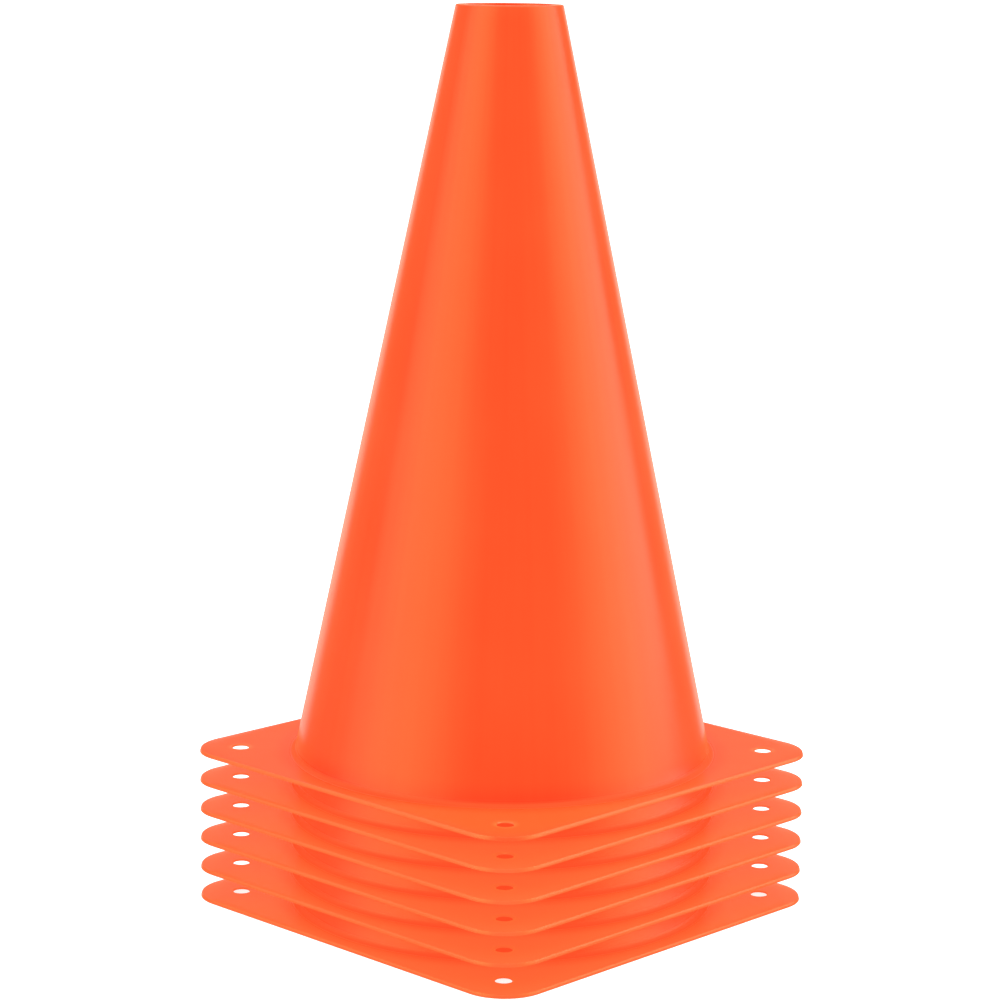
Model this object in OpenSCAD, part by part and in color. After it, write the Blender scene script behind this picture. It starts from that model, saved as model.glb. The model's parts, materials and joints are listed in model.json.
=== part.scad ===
// Nested stack of sports marker cones
// Each cone is one thin moulding: a tapered hollow body standing on a square base plate.
// The origin is the centre of the lowest plate's underside, with +Z up and the plates square to X and Y.

/* [Cone body] */
// Height of the tapered body above its base plate
body_h = 229; // [140:1:400]
// Outer radius of the body where it meets the plate
foot_r = 64.5; // [48:0.5:90]
// Outer radius of the body at the top
top_r = 16.1; // [12:0.1:24]
// Thickness of the body's wall
wall_t = 1.6; // [1:0.1:2.4]
// Radius of the blend that runs from the body into the plate
foot_blend_r = 1.6; // [0.5:0.1:5]
// Rounding of the outer edge at the top
top_round_r = 0.6; // [0.2:0.1:0.9]

/* [Top opening] */
// How far the flat lip reaches in from the body's outer edge
lip_w = 3.2; // [2.8:0.1:8]
// Thickness of the lip
lip_t = 1.6; // [1:0.1:3]

/* [Base plate] */
// How far the plate stands out past the body at the middle of each side
ledge_w = 6.1; // [5.5:0.1:30]
// Thickness of the plate
plate_t = 1.2; // [0.8:0.1:2.4]
// Radius of the plate's corners
corner_r = 14; // [4:0.5:24]
// Diameter of the hole in each corner
hole_d = 5; // [3:0.5:7]
// Distance from the plate's sides to the middle of a hole
hole_inset = 13.1; // [10:0.05:16]

/* [Stack] */
// Number of nested cones
cone_count = 6; // [1:1:10]
// Gap between the walls of two nested cones
nest_gap = 0.33; // [0.1:0.01:1]

/* [Hidden] */
// Overrun of every cut past the face that it opens
overrun = 1;
// Lean of the body's wall away from upright
lean = atan((foot_r - top_r) / body_h);
// Thickness of the wall and width of the nesting gap, measured level
wall_level = wall_t / cos(lean);
gap_level = nest_gap / cos(lean);
// Height of the top above the plate's underside
top_z = plate_t + body_h;
// Rise from one nested cone to the next, set by a wall and a gap measured level
nest_pitch = (wall_level + gap_level) / tan(lean);
// Side of the plate, and distance between the holes along a side
plate_side = 2 * (foot_r + ledge_w);
hole_spacing = plate_side - 2 * hole_inset;
// Radius of the opening in the top
opening_r = top_r - lip_w;
// Radius of the blend inside the foot, which keeps the wall's thickness round the bend
inner_blend_r = foot_blend_r + wall_t;
// Orange of the moulded plastic
cone_colour = [0.95, 0.27, 0.08];
$fn = 96;

// Outer radius of the body, as if the wall ran on straight, at a height above the plate's underside
function outer_r(z) = foot_r - (z - plate_t) * tan(lean);
function inner_r(z) = outer_r(z) - wall_level;

// Centre of an arc of radius r that touches the leaning wall and a level face at height z.
// side 1 puts it outside the wall and above the face, and side -1 inside the wall and below it.
function arc_centre(wall_r, z, r, side) =
    [wall_r + side * r * (1 - sin(lean)) / cos(lean), z + side * r];

// Point where that arc touches the wall
function wall_touch(centre, r, side) = centre - side * r * [cos(lean), sin(lean)];

// The sharp corner that the rounding takes off the outer edge at the top
module top_corner() {
    centre = arc_centre(top_r, top_z, top_round_r, -1);
    difference() {
        polygon([[top_r, top_z], [centre[0], top_z], centre, wall_touch(centre, top_round_r, -1)]);
        translate(centre) circle(top_round_r);
    }
}

// Half section of the body's outside, from the axis out to the end of the foot's blend
module outside_profile() {
    centre = arc_centre(foot_r, plate_t, foot_blend_r, 1);
    difference() {
        polygon([
            [0, 0],
            [centre[0], 0],
            centre,
            wall_touch(centre, foot_blend_r, 1),
            [top_r, top_z],
            [0, top_z]
        ]);
        translate(centre) circle(foot_blend_r);
        top_corner();
    }
}

// Half section of the hollow, open below and through the lip above
module hollow_profile() {
    ceiling_z = top_z - lip_t;
    centre = arc_centre(inner_r(0), 0, inner_blend_r, 1);
    difference() {
        polygon([
            [0, -overrun],
            [centre[0], -overrun],
            centre,
            wall_touch(centre, inner_blend_r, 1),
            [inner_r(ceiling_z), ceiling_z],
            [opening_r, ceiling_z],
            [opening_r, top_z + overrun],
            [0, top_z + overrun]
        ]);
        translate(centre) circle(inner_blend_r);
    }
}

// Four copies, one at each corner of a square of this side
module at_corners(side) {
    for (x = [-side / 2, side / 2], y = [-side / 2, side / 2]) translate([x, y]) children();
}

// Outline of the base plate with its round corners
module plate_outline() {
    flat_side = plate_side - 2 * corner_r;
    square([plate_side, flat_side], center = true);
    square([flat_side, plate_side], center = true);
    at_corners(flat_side) circle(corner_r);
}

// One cone, standing on z = 0
module marker_cone() {
    difference() {
        union() {
            rotate_extrude() outside_profile();
            linear_extrude(plate_t) plate_outline();
        }
        rotate_extrude() hollow_profile();
        translate([0, 0, -overrun])
            linear_extrude(plate_t + 2 * overrun) at_corners(hole_spacing) circle(d = hole_d);
    }
}

// A cone at its nested height, counted from 0 at the bottom of the stack
module nested_cone(level) {
    color(cone_colour) translate([0, 0, level * nest_pitch]) marker_cone();
}

for (level = [0 : cone_count - 1])
    nested_cone(level);
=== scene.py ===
# %% [markdown]
# # Six sports marker cones, nested in a stack
#
# The object is a stack of training cones. Each one is a single thin moulding of orange polyethylene:
# a hollow tapered body, a blend at its foot and a square base plate with a hole near each corner.
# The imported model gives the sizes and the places. This script gives the surfaces: one cone is modelled with
# the same steps as by hand, it gets a plastic finish, and a copy of it goes to each place in the stack.

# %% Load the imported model
import json
import math

import bmesh
import bpy
from mathutils import Matrix, Vector


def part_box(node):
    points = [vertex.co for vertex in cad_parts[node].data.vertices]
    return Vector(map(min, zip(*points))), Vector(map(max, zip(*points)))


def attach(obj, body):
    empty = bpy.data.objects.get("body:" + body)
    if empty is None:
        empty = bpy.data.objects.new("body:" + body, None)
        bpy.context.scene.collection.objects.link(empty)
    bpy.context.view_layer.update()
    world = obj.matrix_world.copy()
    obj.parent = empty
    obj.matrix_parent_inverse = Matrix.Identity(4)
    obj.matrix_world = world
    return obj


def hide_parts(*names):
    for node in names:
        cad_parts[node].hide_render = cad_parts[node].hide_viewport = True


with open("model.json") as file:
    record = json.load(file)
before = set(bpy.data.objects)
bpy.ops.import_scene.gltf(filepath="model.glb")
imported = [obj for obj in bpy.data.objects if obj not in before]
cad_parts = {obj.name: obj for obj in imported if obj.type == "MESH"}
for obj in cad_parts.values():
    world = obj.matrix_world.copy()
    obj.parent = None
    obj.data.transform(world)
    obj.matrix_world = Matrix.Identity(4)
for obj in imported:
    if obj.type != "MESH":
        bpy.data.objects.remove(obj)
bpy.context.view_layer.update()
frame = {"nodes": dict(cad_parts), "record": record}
MM = 0.001

# %% [markdown]
# ## Camera
#
# The photograph looks at one corner of the base plates from a little above. A camera can be placed by eye,
# but a stack of plates with holes gives enough corners to solve its place, so the values below are a fit:
# how far it stands from the axis, on which side, how high, and how it is turned. The lens is a long one,
# which is why the stack has little perspective.

# %% Camera values
# Distances are in metres, and the lens and the sensor in millimetres.
camera_distance = 0.92357
camera_side = math.radians(-45.827)
camera_height = 0.30163
camera_heading = math.radians(-45.740)
camera_pitch = math.radians(-10.728)
camera_roll = math.radians(0.576)
camera_lens = 110.305
camera_sensor = 36
camera_reach = 100

# %% Place the camera
bpy.ops.object.select_all(action="DESELECT")
bpy.ops.object.camera_add(location=(
    camera_distance * math.sin(camera_side),
    -camera_distance * math.cos(camera_side),
    camera_height,
))
camera = bpy.context.object
camera.name = "camera"
camera.rotation_euler = (
    Matrix.Rotation(camera_heading, 4, "Z")
    @ Matrix.Rotation(math.radians(90) + camera_pitch, 4, "X")
    @ Matrix.Rotation(camera_roll, 4, "Z")
).to_euler()
camera.data.sensor_width = camera_sensor
camera.data.lens = camera_lens
camera.data.clip_end = camera_reach
camera.data.dof.use_dof = False
bpy.context.scene.camera = camera
print("camera at", [round(v, 4) for v in camera.location], "m with a lens of", camera_lens, "mm")

# %% [markdown]
# ## Sizes of one cone
#
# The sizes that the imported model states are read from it, so the visible cone can't drift away from the
# solid one: the box of the lowest cone, the rise to the next one, and the mounts for the holes and the top
# opening. What a box and a mount can't say, such as the wall's thickness, is given here in millimetres.

# %% Sizes
lowest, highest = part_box("cone_1")
plate_side = highest.x - lowest.x
cone_height = highest.z - lowest.z
nest_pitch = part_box("cone_2")[0].z - lowest.z
mounts = {mount["name"]: mount["dims"] for mount in frame["record"]["mounts"]}
hole_r = mounts["corner_holes"]["hole_r_mm"] * MM
hole_spacing = mounts["corner_holes"]["spacing_x_mm"] * MM
opening_r = mounts["top_opening"]["r_mm"] * MM
lip_t = mounts["top_opening"]["length_mm"] * MM
foot_r = 64.5 * MM
top_r = 16.1 * MM
wall_t = 1.6 * MM
plate_t = 1.2 * MM
corner_r = 14 * MM
foot_blend_r = 1.6 * MM
top_round_r = 0.6 * MM
edge_round = 0.25 * MM
rim_draft = 0.28 * MM
lean = math.atan((foot_r - top_r) / (cone_height - plate_t))
wall_level = wall_t / math.cos(lean)
print("plate", round(plate_side / MM, 2), "height", round(cone_height / MM, 2),
      "pitch", round(nest_pitch / MM, 4), "lean", round(math.degrees(lean), 3))

# %% [markdown]
# ## The body: a profile turned round the axis
#
# The body is round, so it is made as on a lathe: half of its section is drawn once and spun round the axis.
# It could also be a cone primitive with a Solidify modifier, but then the blend at the foot and the lip at
# the top would have to be cut in afterwards. Here the pen is one vertex. It is extruded for each straight
# stretch and spun for each arc, and its trail is the section of the real wall, outside and inside.

# %% Helpers that draw a profile
SEGMENTS = 192
BLEND_STEPS = 6
TOP_STEPS = 4
LIP_STEPS = 3
quarter = math.radians(90)
full_turn = 4 * quarter


def selected_vertex(piece):
    """The place of the one selected vertex of a mesh in edit mode."""
    mesh = bmesh.from_edit_mesh(piece.data)
    return next(vertex.co.copy() for vertex in mesh.verts if vertex.select)


def put_pen(name, radius, height):
    """A new object in edit mode whose mesh is a single vertex at a radius and a height."""
    bpy.ops.object.select_all(action="DESELECT")
    bpy.ops.mesh.primitive_plane_add(size=MM, location=(radius, 0, height))
    piece = bpy.context.object
    piece.name = name
    bpy.ops.object.transform_apply(location=True, rotation=True, scale=True)
    bpy.ops.object.mode_set(mode="EDIT")
    bpy.ops.mesh.select_mode(type="VERT")
    bpy.ops.mesh.merge(type="CENTER")
    return piece


def draw_to(piece, radius, height):
    """Draws a straight stretch from the pen to a radius and a height."""
    pen = selected_vertex(piece)
    move = {"value": (radius - pen.x, 0, height - pen.z)}
    bpy.ops.mesh.extrude_vertices_move(TRANSFORM_OT_translate=move)


def draw_arc(piece, centre, angle, steps):
    """Draws an arc round a centre given as radius and height. A positive angle turns from +X to +Z."""
    bpy.ops.mesh.spin(steps=steps, angle=angle, center=(centre[0], 0, centre[1]), axis=(0, 1, 0))


def wall_radius(height):
    """Outer radius of the body at a height, as if the wall ran on straight."""
    return foot_r - (height - plate_t) * math.tan(lean)


def arc_centre(radius, height, arc_r, side):
    """Centre of an arc that touches the leaning wall and a level face. Side 1 lies outside the wall and
    above the face, and side -1 lies inside the wall and below it."""
    return radius + side * arc_r * (1 - math.sin(lean)) / math.cos(lean), height + side * arc_r


# %% Draw the outside of the wall
outer_blend = arc_centre(foot_r, plate_t, foot_blend_r, 1)
body = put_pen("marker_cone", outer_blend[0], plate_t)
draw_arc(body, outer_blend, -(quarter - lean), BLEND_STEPS)
top_arc = arc_centre(top_r, cone_height, top_round_r, -1)
shoulder = (top_arc[0] + top_round_r * math.cos(lean), top_arc[1] + top_round_r * math.sin(lean))
draw_to(body, *shoulder)
draw_arc(body, top_arc, quarter - lean, TOP_STEPS)
print("outside ends at", [round(v / MM, 3) for v in selected_vertex(body)])

# %% Draw the lip, the opening and the inside of the wall
lip_round = 0.3 * MM
draw_to(body, opening_r + lip_round, cone_height)
draw_arc(body, (opening_r + lip_round, cone_height - lip_round), quarter, LIP_STEPS)
draw_to(body, opening_r, cone_height - lip_t)
ceiling_r = wall_radius(cone_height - lip_t) - wall_level
draw_to(body, ceiling_r, cone_height - lip_t)
inner_blend_r = foot_blend_r + wall_t
inner_blend = arc_centre(wall_radius(0) - wall_level, 0, inner_blend_r, 1)
foot = (inner_blend[0] - inner_blend_r * math.cos(lean), inner_blend[1] - inner_blend_r * math.sin(lean))
draw_to(body, *foot)
draw_arc(body, inner_blend, quarter - lean, BLEND_STEPS)
print("inside ends at", [round(v / MM, 3) for v in selected_vertex(body)])

# %% [markdown]
# The straight stretches are only one edge long so far. The two long ones, the wall outside and inside, are
# cut into short edges, so that the faces of the turned wall come out even. Then the whole section is
# selected and spun once round the upright axis, and its two ends stay open: the plate will be joined there.

# %% Cut the walls and spin the section
RING_STEP = 4 * MM
LONG_EDGE = 100 * MM
SAME_PLACE = 0.01 * MM


def select_edges(piece, wanted):
    """Selects the edges whose two end points pass a test, and nothing else. Returns how many there are."""
    bpy.ops.mesh.select_mode(type="EDGE")
    bpy.ops.mesh.select_all(action="DESELECT")
    mesh = bmesh.from_edit_mesh(piece.data)
    for edge in mesh.edges:
        edge.select_set(wanted(edge.verts[0].co, edge.verts[1].co))
    mesh.select_flush_mode()
    bmesh.update_edit_mesh(piece.data)
    return sum(edge.select for edge in mesh.edges)


def is_long(a, b):
    """A test for the edges of the two walls, which are far longer than the others."""
    return (a - b).length > LONG_EDGE


walls = select_edges(body, is_long)
bpy.ops.mesh.subdivide(number_cuts=round(cone_height / RING_STEP))
bpy.ops.mesh.select_all(action="SELECT")
bpy.ops.mesh.spin(steps=SEGMENTS, angle=full_turn, center=(0, 0, 0), axis=(0, 0, 1))
bpy.ops.mesh.select_all(action="SELECT")
bpy.ops.mesh.remove_doubles(threshold=SAME_PLACE)
print("cut", walls, "walls; the turned body has", len(bmesh.from_edit_mesh(body.data).faces), "faces")

# %% [markdown]
# ## The base plate
#
# The plate is a square with round corners, and it is the same moulding as the body, so it becomes part of the
# same mesh. A cube joined with a boolean would work too, but it would leave long thin faces all round the
# foot. Instead an outline with as many points as the body's rings is drawn: a plane, its four corners
# rounded by a vertex bevel, its sides cut evenly and its face removed. It is pulled down by the plate's
# thickness, and its upper edge is drawn in a little, as a mould needs. Then the two open rings of the body
# are bridged to it above and below.

# %% Draw the plate's outline
CORNER_STEPS = SEGMENTS // 12
SIDE_STEPS = SEGMENTS // 4 - CORNER_STEPS
BRIDGE_CUTS = 3
RIM_STEPS = 3


def height_is(height):
    """A test for edges that lie level at a height."""
    return lambda a, b: abs(a.z - height) < SAME_PLACE and abs(b.z - height) < SAME_PLACE


bpy.ops.mesh.select_all(action="DESELECT")
bpy.ops.mesh.primitive_plane_add(size=plate_side, location=(0, 0, plate_t))
bpy.ops.mesh.bevel(affect="VERTICES", offset=corner_r, segments=CORNER_STEPS)
plate_edges = select_edges(body, lambda a, b: (a - b).length > 2 * corner_r)
bpy.ops.mesh.subdivide(number_cuts=SIDE_STEPS - 1)
print("cut", plate_edges, "straight sides into", SIDE_STEPS, "edges each")

# %% Pull the outline down and bridge it to the body
def select_faces(piece, wanted):
    """Selects the faces whose centre passes a test, and nothing else. Returns how many there are."""
    bpy.ops.mesh.select_mode(type="FACE")
    bpy.ops.mesh.select_all(action="DESELECT")
    mesh = bmesh.from_edit_mesh(piece.data)
    for face in mesh.faces:
        face.select_set(wanted(face.calc_center_median()))
    bmesh.update_edit_mesh(piece.data)
    return sum(face.select for face in mesh.faces)


def across(point):
    """Distance of a point from the axis."""
    return math.hypot(point.x, point.y)


def is_outline(a, b):
    """A test for the edges of the plate's outline that lie level with its top."""
    return height_is(plate_t)(a, b) and across(a) > outer_blend[0] + MM


filled = select_faces(body, lambda centre: across(centre) < MM)
bpy.ops.mesh.delete(type="ONLY_FACE")
pulled = select_edges(body, is_outline)
bpy.ops.mesh.extrude_edges_move(TRANSFORM_OT_translate={"value": (0, 0, -plate_t)})
select_edges(body, is_outline)
narrower = 1 - 2 * rim_draft / plate_side
bpy.ops.transform.resize(value=(narrower, narrower, 1), center_override=(0, 0, plate_t))
print("removed", filled, "face and pulled down", pulled, "edges")
for height in (plate_t, 0):
    rings = select_edges(body, height_is(height))
    bpy.ops.mesh.bridge_edge_loops(number_cuts=BRIDGE_CUTS, interpolation="LINEAR")
    print("bridged", rings, "edges at", round(height / MM, 2), "mm")

# %% Close the seams and round the plate's edges
def corner_reach(point):
    """How far out a point on the plate's rim must lie at least, along its larger coordinate."""
    straight = plate_side / 2 - corner_r
    smaller = min(abs(point.x), abs(point.y))
    inside = 2 * rim_draft
    if smaller <= straight:
        return plate_side / 2 - inside
    return straight + math.sqrt(max(corner_r ** 2 - (smaller - straight) ** 2, 0)) - inside


def is_rim(a, b):
    """A test for the edges that lie level on the plate's outline, above or below."""
    level = height_is(plate_t)(a, b) or height_is(0)(a, b)
    return level and all(max(abs(p.x), abs(p.y)) > corner_reach(p) for p in (a, b))


bpy.ops.mesh.select_all(action="SELECT")
bpy.ops.mesh.remove_doubles(threshold=SAME_PLACE)
bpy.ops.mesh.normals_make_consistent(inside=False)
rim = select_edges(body, is_rim)
bpy.ops.mesh.bevel(offset=edge_round, segments=RIM_STEPS, affect="EDGES")
bpy.ops.object.mode_set(mode="OBJECT")
print("rounded", rim, "edges of the plate;", len(body.data.polygons), "faces")

# %% [markdown]
# ## The corner holes
#
# Each corner has a small hole for a peg. A hole could be an inset face that is pushed through, but it has to
# sit at the place of the mount and not on the mesh's grid, so a drill is modelled and taken away with a
# boolean. The drill is turned like the body. From the top down, its section widens at the upper face, which
# leaves a bevel, runs straight for the thin edge that is seen through the hole from the side, and then
# spreads below, because the moulding is dished there. It is made once and spun to the four corners.

# %% Turn a drill and spin it to the corners
DRILL_SIDES = 48
hole_bevel = 0.35 * MM
hole_edge_t = 0.4 * MM
hole_dish_r = 6 * MM
overrun = MM
dish_slope = (hole_dish_r - hole_r) / (plate_t - hole_edge_t)
drill = put_pen("drill", 0, plate_t + overrun)
draw_to(drill, hole_r + hole_bevel + overrun, plate_t + overrun)
draw_to(drill, hole_r, plate_t - hole_bevel)
draw_to(drill, hole_r, plate_t - hole_edge_t)
draw_to(drill, hole_dish_r + overrun * dish_slope, -overrun)
draw_to(drill, 0, -overrun)
bpy.ops.mesh.select_all(action="SELECT")
bpy.ops.mesh.spin(steps=DRILL_SIDES, angle=full_turn, center=(0, 0, 0), axis=(0, 0, 1))
bpy.ops.mesh.select_all(action="SELECT")
bpy.ops.mesh.remove_doubles(threshold=SAME_PLACE)
bpy.ops.transform.translate(value=(hole_spacing / 2, hole_spacing / 2, 0))
bpy.ops.mesh.spin(dupli=True, steps=3, angle=3 * quarter, center=(0, 0, 0), axis=(0, 0, 1))
bpy.ops.mesh.select_all(action="SELECT")
bpy.ops.mesh.normals_make_consistent(inside=False)
bpy.ops.object.mode_set(mode="OBJECT")
print("the drill has", len(drill.data.polygons), "faces at four corners")

# %% Take the drill away and smooth the shading
smooth_below = math.radians(30)
bpy.ops.object.select_all(action="DESELECT")
body.select_set(True)
bpy.context.view_layer.objects.active = body
bpy.ops.object.modifier_add(type="BOOLEAN")
cut = body.modifiers[-1]
cut.operation = "DIFFERENCE"
cut.solver = "EXACT"
cut.object = drill
bpy.ops.object.modifier_apply(modifier=cut.name)
bpy.data.objects.remove(drill)
bpy.ops.object.shade_smooth_by_angle(angle=smooth_below)
print("the cone has", len(body.data.polygons), "faces")

# %% [markdown]
# ## Helpers for the finish
#
# An effect that can serve more than one finish is a node group with named inputs and outputs. A group could
# hold the whole shader, but then its values can't be read when the model is exported, so the groups below
# put out only values that change over the surface, and the shader stays in the material.

# %% Node helpers
def new_group(name, inputs, outputs):
    """A shader node group with its input and output nodes. Sockets are given as name, kind and value."""
    group = bpy.data.node_groups.new(name, "ShaderNodeTree")
    for label, kind, value in inputs:
        socket = group.interface.new_socket(name=label, in_out="INPUT", socket_type=kind)
        if value is not None:
            socket.default_value = value
    for label, kind in outputs:
        group.interface.new_socket(name=label, in_out="OUTPUT", socket_type=kind)
    return group, group.nodes.new("NodeGroupInput"), group.nodes.new("NodeGroupOutput")


def add_node(tree, kind, **settings):
    """A node of a kind with its settings, such as an operation, set."""
    node = tree.nodes.new(kind)
    for label, value in settings.items():
        setattr(node, label, value)
    return node


def math_node(tree, operation, first, second=None):
    """A Math node on one or two values, each a socket or a number. Returns its output."""
    node = add_node(tree, "ShaderNodeMath", operation=operation)
    for socket, value in zip(node.inputs, (first, second)):
        if isinstance(value, bpy.types.NodeSocket):
            tree.links.new(value, socket)
        elif value is not None:
            socket.default_value = value
    return node.outputs[0]


def noise(tree, place, scale, detail):
    """A noise texture whose place and scale are sockets. Returns its value, about 0.5 on the whole."""
    node = add_node(tree, "ShaderNodeTexNoise")
    tree.links.new(place, node.inputs["Vector"])
    tree.links.new(scale, node.inputs["Scale"])
    node.inputs["Detail"].default_value = detail
    return node.outputs[0]


def ramp_value(tree, value, start, end):
    """A value that rises softly from 0 to 1 between a start and an end. Returns the output."""
    node = add_node(tree, "ShaderNodeMapRange", interpolation_type="SMOOTHSTEP")
    tree.links.new(value, node.inputs["Value"])
    node.inputs["From Min"].default_value = start
    node.inputs["From Max"].default_value = end
    return node.outputs["Result"]


# %% [markdown]
# ## Marks of the moulding
#
# The melt mostly fills such a mould from the top of the cone down to the rim, which leaves faint streaks that
# way, and the mould's polish wears unevenly, which leaves soft clouds in the gloss. A picture could show
# them, but a noise texture needs no file and has no seam. For the streaks its place is squeezed along the
# wall, so that round spots become long ones, and plain noise at two scales gives the clouds and the finest
# grain.

# %% Flow marks of the moulding
ALONG_WALL = 0.6


def build_flow_marks():
    """Faint streaks that run from the top of a round moulding down its wall and out over its plate."""
    group, given, put = new_group(
        "flow_marks",
        [("Place", "NodeSocketVector", None), ("Streaks", "NodeSocketFloat", 40.0)],
        [("Mask", "NodeSocketFloat")],
    )
    split = add_node(group, "ShaderNodeSeparateXYZ")
    group.links.new(given.outputs["Place"], split.inputs[0])
    flat = add_node(group, "ShaderNodeCombineXYZ")
    group.links.new(split.outputs["X"], flat.inputs["X"])
    group.links.new(split.outputs["Y"], flat.inputs["Y"])
    round_place = add_node(group, "ShaderNodeVectorMath", operation="NORMALIZE")
    group.links.new(flat.outputs[0], round_place.inputs[0])
    sides = add_node(group, "ShaderNodeSeparateXYZ")
    group.links.new(round_place.outputs[0], sides.inputs[0])
    place = add_node(group, "ShaderNodeCombineXYZ")
    group.links.new(sides.outputs["X"], place.inputs["X"])
    group.links.new(sides.outputs["Y"], place.inputs["Y"])
    group.links.new(math_node(group, "MULTIPLY", split.outputs["Z"], ALONG_WALL), place.inputs["Z"])
    group.links.new(noise(group, place.outputs[0], given.outputs["Streaks"], 3), put.inputs["Mask"])
    return group


flow_marks = build_flow_marks()
print("flow_marks has", len(flow_marks.nodes), "nodes")

# %% Mottling and grain of the surface
def build_moulded_skin():
    """Soft clouds a few centimetres wide and the fine grain of a polished mould."""
    group, given, put = new_group(
        "moulded_skin",
        [("Place", "NodeSocketVector", None), ("Cloud scale", "NodeSocketFloat", 25.0),
         ("Grain scale", "NodeSocketFloat", 1500.0)],
        [("Clouds", "NodeSocketFloat"), ("Grain", "NodeSocketFloat")],
    )
    clouds = noise(group, given.outputs["Place"], given.outputs["Cloud scale"], 3)
    grain = noise(group, given.outputs["Place"], given.outputs["Grain scale"], 2)
    group.links.new(clouds, put.inputs["Clouds"])
    group.links.new(grain, put.inputs["Grain"])
    return group


moulded_skin = build_moulded_skin()
print("moulded_skin has", len(moulded_skin.nodes), "nodes")

# %% [markdown]
# ## Zones of painted light and shade
#
# The plastic is thin and lets some light through, but here that light and the shade between the plates are
# painted: the finish gives off light by itself though it is no lamp, and this group says where. It paints
# highlights on a rim and round a hole, paints light into the shade where a plate lies under the one above it
# and into the crease at the wall's foot, and paints shade on the lower end of the wall and on the plate near
# the foot. Light inside a thin wall could be traced, but that is slow and noisy. Its masks come from the
# sizes of the moulding, and each pair below holds the places where a mask starts to change and where it has
# changed in full. They are counted from the foot's radius outwards for the bend, the wall's end and the
# ledge, from the plate's outline for the rim, from where the rounding of a corner starts for its tip, from a
# hole's edge for the ring, and down from the cover height.

# %% Where each zone starts and ends
BEND_START = (-0.42 * MM, 0.1 * MM)
BEND_END = (0.6 * MM, 1.5 * MM)
WALL_END = (-1.6 * MM, -0.3 * MM)
LEDGE_RISE = (0.5 * MM, 8 * MM)
RIM_START = (-0.75 * MM, -0.3 * MM)
TIP_FADE = (3 * MM, 9 * MM)
RING_FADE = (0.2 * MM, 2.2 * MM)
COVER_FADE = (0.1 * MM, 0.5 * MM)

# %% Masks of the rim and the holes
def level_length(group, first, second):
    """Length of a level vector given by its two parts."""
    flat = add_node(group, "ShaderNodeCombineXYZ")
    group.links.new(first, flat.inputs["X"])
    group.links.new(second, flat.inputs["Y"])
    length = add_node(group, "ShaderNodeVectorMath", operation="LENGTH")
    group.links.new(flat.outputs[0], length.inputs[0])
    return length.outputs["Value"]


def rim_mask(group, given, x, y):
    """The rim of the plate away from the tips of its corners, from the distance to the outline of a square
    with round corners. Returns the output."""
    straight = math_node(group, "SUBTRACT", given.outputs["Half side"], given.outputs["Corner radius"])
    over_x, over_y = (math_node(group, "SUBTRACT", value, straight) for value in (x, y))
    past_x, past_y = (math_node(group, "MAXIMUM", value, 0.0) for value in (over_x, over_y))
    within = math_node(group, "MINIMUM", math_node(group, "MAXIMUM", over_x, over_y), 0.0)
    distance = math_node(group, "ADD", level_length(group, past_x, past_y), within)
    rim_out = math_node(group, "SUBTRACT", distance, given.outputs["Corner radius"])
    tip = ramp_value(group, math_node(group, "MINIMUM", over_x, over_y), *TIP_FADE)
    side = math_node(group, "SUBTRACT", 1.0, tip)
    return math_node(group, "MULTIPLY", ramp_value(group, rim_out, *RIM_START), side)


def ring_mask(group, given, x, y):
    """A ring round each hole, from the distance to the nearest hole. Returns the output."""
    hole_x, hole_y = (math_node(group, "SUBTRACT", value, given.outputs["Hole place"]) for value in (x, y))
    from_middle = level_length(group, hole_x, hole_y)
    from_edge = math_node(group, "SUBTRACT", from_middle, given.outputs["Hole radius"])
    return math_node(group, "SUBTRACT", 1.0, ramp_value(group, from_edge, *RING_FADE))


# %% Build the zones
def build_painted_light_zones():
    """Masks for the painted light and shade in the glow: the base plate, the crease where the wall meets
    it, a slow rise from there outwards, the lower end of the wall, the plate's rim, a ring round each hole,
    and all that lies below a cover height. They take the four corners as one, because the cone looks the
    same from all four sides."""
    group, given, put = new_group(
        "painted_light_zones",
        [("Place", "NodeSocketVector", None), ("Foot radius", "NodeSocketFloat", 0.0645),
         ("Half side", "NodeSocketFloat", 0.0706), ("Corner radius", "NodeSocketFloat", 0.014),
         ("Hole place", "NodeSocketFloat", 0.0575), ("Hole radius", "NodeSocketFloat", 0.0025),
         ("Cover height", "NodeSocketFloat", 0.0467)],
        [("Plate", "NodeSocketFloat"), ("Crease", "NodeSocketFloat"), ("Ledge", "NodeSocketFloat"),
         ("Wall end", "NodeSocketFloat"), ("Rim", "NodeSocketFloat"), ("Ring", "NodeSocketFloat"),
         ("Covered", "NodeSocketFloat")],
    )
    split = add_node(group, "ShaderNodeSeparateXYZ")
    group.links.new(given.outputs["Place"], split.inputs[0])
    x, y = (math_node(group, "ABSOLUTE", split.outputs[axis]) for axis in ("X", "Y"))
    out = math_node(group, "SUBTRACT", level_length(group, x, y), given.outputs["Foot radius"])
    depth = math_node(group, "SUBTRACT", given.outputs["Cover height"], split.outputs["Z"])
    plate = ramp_value(group, out, *BEND_END)
    masks = {
        "Plate": plate,
        "Crease": math_node(group, "SUBTRACT", ramp_value(group, out, *BEND_START), plate),
        "Ledge": ramp_value(group, out, *LEDGE_RISE),
        "Wall end": ramp_value(group, out, *WALL_END),
        "Rim": rim_mask(group, given, x, y),
        "Ring": ring_mask(group, given, x, y),
        "Covered": ramp_value(group, depth, *COVER_FADE),
    }
    for name, mask in masks.items():
        group.links.new(mask, put.inputs[name])
    return group


painted_light_zones = build_painted_light_zones()
print("painted_light_zones has", len(painted_light_zones.nodes), "nodes")
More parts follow.
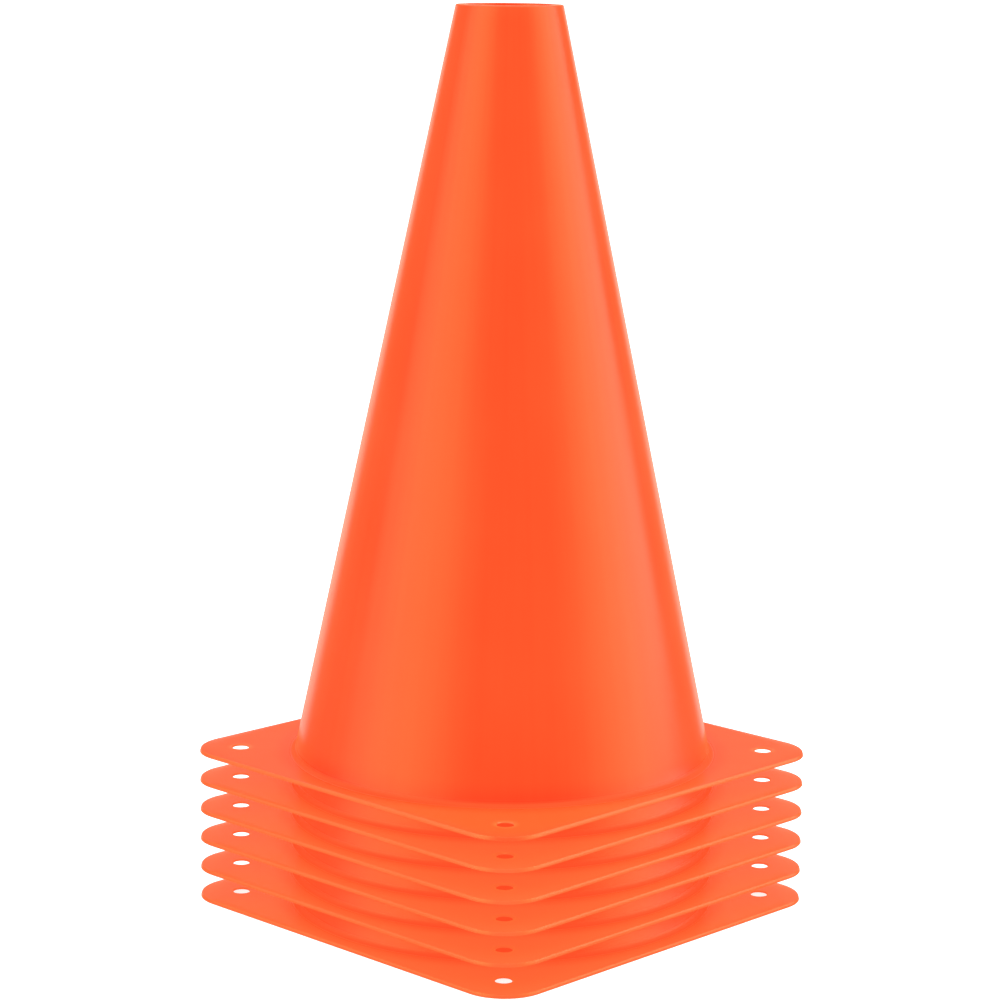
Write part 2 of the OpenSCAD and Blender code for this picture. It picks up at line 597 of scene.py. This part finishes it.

# %% [markdown]
# ## The orange plastic
#
# Cones are moulded from polyethylene that is coloured right through: a hot, very saturated orange with a
# satin gloss. The colour varies a little where the melt flowed, and the gloss where the mould's polish is
# worn. A plain colour with a low roughness would look like a computer picture, so colour, glow, roughness
# and the smallest bumps each read one of the groups. The glow is painted light and shade, given off though
# the plastic is no lamp. A faint orange sheen brightens the flanks, where one looks along the surface. The
# darker of each pair of glows is for what lies open, and the lighter, painted light in the shade, for what
# lies under another plate.

# %% Colours of the plastic
BASE_SHADES = ((0.90, 0.022, 0.0052), (0.92, 0.031, 0.0078))
# The crease's base colour is a little darker: painted shade.
CREASE_PAINTED_SHADE = (0.89, 0.020, 0.0045)
# Every glow below is painted light given off by a surface that is no lamp. In each pair the first is for what
# lies open and the second, lighter, is painted light in the shade under another plate.
WALL_PAINTED_GLOWS = ((1.0, 0.084, 0.022), (1.0, 0.112, 0.029))
# The wall's end is darker: painted shade above the crease.
WALL_END_PAINTED_SHADE = (1.0, 0.056, 0.018)
# The crease's glow is lighter than the wall's: painted light in the shade of the crease.
CREASE_PAINTED_GLOWS = ((1.0, 0.1, 0.026), (1.0, 0.145, 0.042))
# The inner plate is darker than the outer: painted shade on the plate near the foot.
INNER_PLATE_PAINTED_GLOWS = ((1.0, 0.07, 0.02), (1.0, 0.145, 0.045))
OUTER_PLATE_PAINTED_GLOWS = ((1.0, 0.12, 0.036), (1.0, 0.205, 0.068))
# The ring round each hole and the rim are painted highlights.
HOLE_RING_PAINTED_HIGHLIGHT = (1.0, 0.22, 0.062)
RIM_PAINTED_HIGHLIGHT = (1.0, 0.205, 0.052)
PAINTED_GLOW_STRENGTH = 0.5
MIRROR_TINT = (1.0, 0.60, 0.19, 1)
SHEEN_TINT = (1.0, 0.35, 0.03, 1)
SATIN = (0.20, 0.27)
CREASE_DULLING = 0.5
NOISE_SPAN = (0.3, 0.7)

# %% Helpers that fill a material
def place_group(tree, group, **values):
    """A group node in a material, with its own values."""
    node = add_node(tree, "ShaderNodeGroup", node_tree=group)
    for label, value in values.items():
        node.inputs[label.replace("_", " ")].default_value = value
    return node


def spread_value(tree, value, low, high):
    """Spreads the usual span of a noise value over a range. Returns the output."""
    node = add_node(tree, "ShaderNodeMapRange")
    tree.links.new(value, node.inputs["Value"])
    node.inputs["From Min"].default_value = NOISE_SPAN[0]
    node.inputs["From Max"].default_value = NOISE_SPAN[1]
    node.inputs["To Min"].default_value = low
    node.inputs["To Max"].default_value = high
    return node.outputs["Result"]


def mix_colours(tree, factor, first, second):
    """A mix of two colours, each a socket or a triple. Returns its output."""
    node = add_node(tree, "ShaderNodeMix", data_type="RGBA")
    tree.links.new(factor, node.inputs["Factor"])
    for label, colour in (("A", first), ("B", second)):
        socket = next(s for s in node.inputs if s.name == label and s.type == "RGBA")
        if isinstance(colour, bpy.types.NodeSocket):
            tree.links.new(colour, socket)
        else:
            socket.default_value = (*colour, 1)
    return next(s for s in node.outputs if s.type == "RGBA")


# %% Painted light and shade in the glow
def painted_light_colour(tree, zones):
    """The colour of the painted glow, zone by zone: painted light that lifts the shade under a plate and in
    the crease, painted highlights on the rim and round the holes, and painted shade on the wall's end and the
    plate near the foot. Returns its output.
    """
    covered = zones.outputs["Covered"]
    outer_plate = mix_colours(tree, covered, *OUTER_PLATE_PAINTED_GLOWS)
    outer_plate = mix_colours(tree, zones.outputs["Ring"], outer_plate, HOLE_RING_PAINTED_HIGHLIGHT)
    inner_plate = mix_colours(tree, covered, *INNER_PLATE_PAINTED_GLOWS)
    plate = mix_colours(tree, zones.outputs["Ledge"], inner_plate, outer_plate)
    open_wall = mix_colours(tree, zones.outputs["Wall end"], WALL_PAINTED_GLOWS[0], WALL_END_PAINTED_SHADE)
    wall = mix_colours(tree, covered, open_wall, WALL_PAINTED_GLOWS[1])
    painted_glow = mix_colours(tree, zones.outputs["Plate"], wall, plate)
    painted_glow = mix_colours(tree, zones.outputs["Rim"], painted_glow, RIM_PAINTED_HIGHLIGHT)
    return mix_colours(tree, zones.outputs["Crease"], painted_glow, mix_colours(tree, covered, *CREASE_PAINTED_GLOWS))


# %% Build the material
def orange_plastic():
    """Satin orange polyethylene, with painted light and shade in its glow."""
    material = bpy.data.materials.new("orange_plastic")
    material.use_nodes = True
    tree = material.node_tree
    shader = tree.nodes["Principled BSDF"]
    coordinates = add_node(tree, "ShaderNodeTexCoord")
    flow = place_group(tree, flow_marks, Streaks=14.0)
    skin = place_group(tree, moulded_skin, Cloud_scale=22.0, Grain_scale=1400.0)
    zones = place_group(tree, painted_light_zones, Foot_radius=foot_r, Half_side=plate_side / 2,
                        Corner_radius=corner_r, Hole_place=hole_spacing / 2, Hole_radius=hole_r,
                        Cover_height=(len(frame["nodes"]) - 1) * nest_pitch)
    for group_node in (flow, skin, zones):
        tree.links.new(coordinates.outputs["Object"], group_node.inputs["Place"])
    tone = math_node(tree, "ADD", math_node(tree, "MULTIPLY", flow.outputs["Mask"], 0.5),
                     math_node(tree, "MULTIPLY", skin.outputs["Clouds"], 0.5))
    tones_and_painted_shade = mix_colours(tree, spread_value(tree, tone, 0.0, 1.0), *BASE_SHADES)
    # The crease gets a slightly darker base colour: painted shade, mixed over the random tones.
    tones_and_painted_shade = mix_colours(tree, zones.outputs["Crease"], tones_and_painted_shade, CREASE_PAINTED_SHADE)
    tree.links.new(tones_and_painted_shade, shader.inputs["Base Color"])
    # The glow is painted light and shade: the surface gives off light where there is no lamp.
    tree.links.new(painted_light_colour(tree, zones), shader.inputs["Emission Color"])
    shader.inputs["Emission Strength"].default_value = PAINTED_GLOW_STRENGTH
    satin = spread_value(tree, skin.outputs["Clouds"], *SATIN)
    dull = math_node(tree, "MULTIPLY", zones.outputs["Crease"], CREASE_DULLING)
    tree.links.new(math_node(tree, "ADD", satin, dull), shader.inputs["Roughness"])
    bump = add_node(tree, "ShaderNodeBump")
    bump.inputs["Strength"].default_value = 0.05
    bump.inputs["Distance"].default_value = 0.1 * MM
    tree.links.new(skin.outputs["Grain"], bump.inputs["Height"])
    tree.links.new(bump.outputs["Normal"], shader.inputs["Normal"])
    shader.inputs["Sheen Weight"].default_value = 0.4
    shader.inputs["Sheen Roughness"].default_value = 0.4
    shader.inputs["Sheen Tint"].default_value = SHEEN_TINT
    shader.inputs["IOR"].default_value = 1.5
    shader.inputs["Specular Tint"].default_value = MIRROR_TINT
    return material


cone_plastic = orange_plastic()
body.data.materials.clear()
body.data.materials.append(cone_plastic)
print("orange_plastic has", len(cone_plastic.node_tree.nodes), "nodes")

# %% [markdown]
# ## The stack
#
# The six cones are the same moulding, so the finished one is copied. A linked copy would be lighter, but each
# cone rides on its own body and keeps its own mesh, with its place in the mesh and the object at the
# origin, so that the finish reads one frame for the whole stack and an export finds every cone in place.

# %% Nest the copies
for level in range(len(frame["nodes"])):
    node = f"cone_{level + 1}"
    cone = body.copy()
    cone.data = body.data.copy()
    cone.name = f"nested_{node}"
    bpy.context.scene.collection.objects.link(cone)
    cone.data.transform(Matrix.Translation((0, 0, level * nest_pitch)))
    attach(cone, node)
    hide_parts(node)
    print(cone.name, "stands at", round(level * nest_pitch / MM, 2), "mm")
bpy.data.objects.remove(body)

# %% [markdown]
# ## Floor and light
#
# The photograph is a cut-out on white, lit by large soft boxes left and right. A white floor and a white
# surrounding give the same clean ground. The floor lies a little below the lowest plate, so that the two
# don't share a plane, and it has some light of its own and isn't mirrored, because a cut-out has no floor
# to mirror. Glossy plastic shows what stands round it, so the room is made of what the photograph's
# reflections show: soft boxes that fade towards their sides leave the broad bands on the body, a bright
# backdrop of limited width behind the stack leaves the narrow pale lines along its outline, and the dark
# beside the backdrop keeps the flanks deep in colour.

# %% Lay the floor
FLOOR_SIZE = 60
FLOOR_DROP = 0.05 * MM
bpy.ops.object.select_all(action="DESELECT")
bpy.ops.mesh.primitive_plane_add(size=FLOOR_SIZE, location=(0, 0, -FLOOR_DROP))
floor = bpy.context.object
floor.name = "floor"
white_paint = bpy.data.materials.new("floor_white")
white_paint.use_nodes = True
white_shader = white_paint.node_tree.nodes["Principled BSDF"]
white_shader.inputs["Base Color"].default_value = (0.5, 0.5, 0.5, 1)
white_shader.inputs["Roughness"].default_value = 0.9
white_shader.inputs["Emission Color"].default_value = (1, 1, 1, 1)
white_shader.inputs["Emission Strength"].default_value = 0.8
floor.data.materials.append(white_paint)
floor.visible_glossy = False
print("floor laid at z", floor.location.z)

# %% A helper for light that fades
def set_levels(ramp, levels):
    """Sets a ramp to grey levels, given as pairs of place and level in rising order."""
    while len(ramp.elements) < len(levels):
        ramp.elements.new(0.5)
    for stop, (place, level) in zip(ramp.elements, levels):
        stop.position = place
        stop.color = (level, level, level, 1)
    ramp.interpolation = "EASE"


# %% Light the room from above
# The levels go from straight below (0) over the horizon (0.5) to straight overhead (1).
OVERHEAD = 1.7
HEIGHT_LEVELS = [(0.0, 0.1), (0.54, 0.1), (0.6, 0.22), (0.68, 0.22), (0.9, OVERHEAD)]
world = bpy.data.worlds.new("soft_room")
bpy.context.scene.world = world
world.use_nodes = True
room = world.node_tree
room.nodes.clear()
direction = add_node(room, "ShaderNodeTexCoord")
upward = add_node(room, "ShaderNodeSeparateXYZ")
room.links.new(direction.outputs["Generated"], upward.inputs[0])
height_share = add_node(room, "ShaderNodeMapRange")
room.links.new(upward.outputs["Z"], height_share.inputs["Value"])
height_share.inputs["From Min"].default_value = -1
ceiling = add_node(room, "ShaderNodeValToRGB")
room.links.new(height_share.outputs["Result"], ceiling.inputs["Fac"])
set_levels(ceiling.color_ramp, [(place, level / OVERHEAD) for place, level in HEIGHT_LEVELS])
sky = math_node(room, "MULTIPLY", ceiling.outputs["Color"], OVERHEAD)
print("the room's levels from below to overhead:", [level for place, level in HEIGHT_LEVELS])

# %% Put a bright backdrop behind the stack
# It stands nearly opposite the camera. It fades out to its sides between two angles from its middle, and
# upwards between two heights.
BACKDROP = 0.8
BACKDROP_SIDES = (math.cos(math.radians(36)), math.cos(math.radians(27)))
BACKDROP_TOP = (0.08, 0.17)
backdrop_turn = camera_side + math.radians(183)
facing = add_node(room, "ShaderNodeVectorMath", operation="DOT_PRODUCT")
room.links.new(direction.outputs["Generated"], facing.inputs[0])
facing.inputs[1].default_value = (math.sin(backdrop_turn), -math.cos(backdrop_turn), 0)
behind = ramp_value(room, facing.outputs["Value"], *BACKDROP_SIDES)
under_top = math_node(room, "SUBTRACT", 1.0, ramp_value(room, upward.outputs["Z"], *BACKDROP_TOP))
backdrop = math_node(room, "MULTIPLY", math_node(room, "MULTIPLY", behind, under_top), BACKDROP)
brightness = math_node(room, "ADD", sky, backdrop)
print("the backdrop's middle is at", round(math.degrees(backdrop_turn), 1), "degrees round the axis")

# %% Show plain white to the camera
lighting = add_node(room, "ShaderNodeBackground")
room.links.new(brightness, lighting.inputs["Strength"])
rays = add_node(room, "ShaderNodeLightPath")
seen = add_node(room, "ShaderNodeBackground")
pick = add_node(room, "ShaderNodeMixShader")
for background in (lighting, seen):
    background.inputs["Color"].default_value = (1, 1, 1, 1)
room.links.new(rays.outputs["Is Camera Ray"], pick.inputs[0])
room.links.new(lighting.outputs[0], pick.inputs[1])
room.links.new(seen.outputs[0], pick.inputs[2])
put_world = add_node(room, "ShaderNodeOutputWorld")
room.links.new(pick.outputs[0], put_world.inputs["Surface"])
bpy.context.scene.view_settings.view_transform = "Standard"
print("the room has", len(room.nodes), "nodes")

# %% Set up the soft boxes
BOX_DISTANCE = 1.5
EVEN = [(0.0, 1.0), (1.0, 1.0)]


def soft_box(name, middle, wide, tall, brightness, levels, mirrored=True):
    """An upright soft box that faces the cones. Its middle is an angle in degrees from the camera's side
    of the axis, positive to the right in the picture. Its brightness is what a mirror would show, and
    levels say how much of that each place across it gives, as pairs of place and level."""
    turn = camera_side + math.radians(middle)
    place = Vector((BOX_DISTANCE * math.sin(turn), -BOX_DISTANCE * math.cos(turn), tall / 2))
    bpy.ops.object.select_all(action="DESELECT")
    bpy.ops.object.light_add(type="AREA", location=place)
    box = bpy.context.object
    box.name = name
    box.rotation_euler = (math.radians(90), 0, turn)
    box.data.shape = "RECTANGLE"
    box.data.size = wide
    box.data.size_y = tall
    box.data.energy = brightness * math.pi * wide * tall
    box.data.use_nodes = True
    tree = box.data.node_tree
    surface = add_node(tree, "ShaderNodeNewGeometry")
    across_place = add_node(tree, "ShaderNodeSeparateXYZ")
    tree.links.new(surface.outputs["Parametric"], across_place.inputs[0])
    ramp = add_node(tree, "ShaderNodeValToRGB")
    tree.links.new(across_place.outputs["X"], ramp.inputs["Fac"])
    tree.links.new(ramp.outputs["Color"], tree.nodes["Emission"].inputs["Strength"])
    set_levels(ramp.color_ramp, levels)
    box.visible_camera = False
    box.visible_glossy = mirrored
    print(name, "stands at", [round(v, 2) for v in box.location])


soft_box("soft_box_right", middle=73, wide=3.0, tall=2.2, brightness=3.1,
         levels=[(0.0, 0.0), (0.1, 0.03), (0.56, 1.0), (1.0, 0.6)])
soft_box("soft_box_left", middle=-60, wide=3.0, tall=2.2, brightness=2.9,
         levels=[(0.0, 0.0), (0.5, 1.0), (1.0, 0.0)])
soft_box("fill_front", middle=0, wide=2.4, tall=0.6, brightness=0.3, levels=EVEN, mirrored=False)
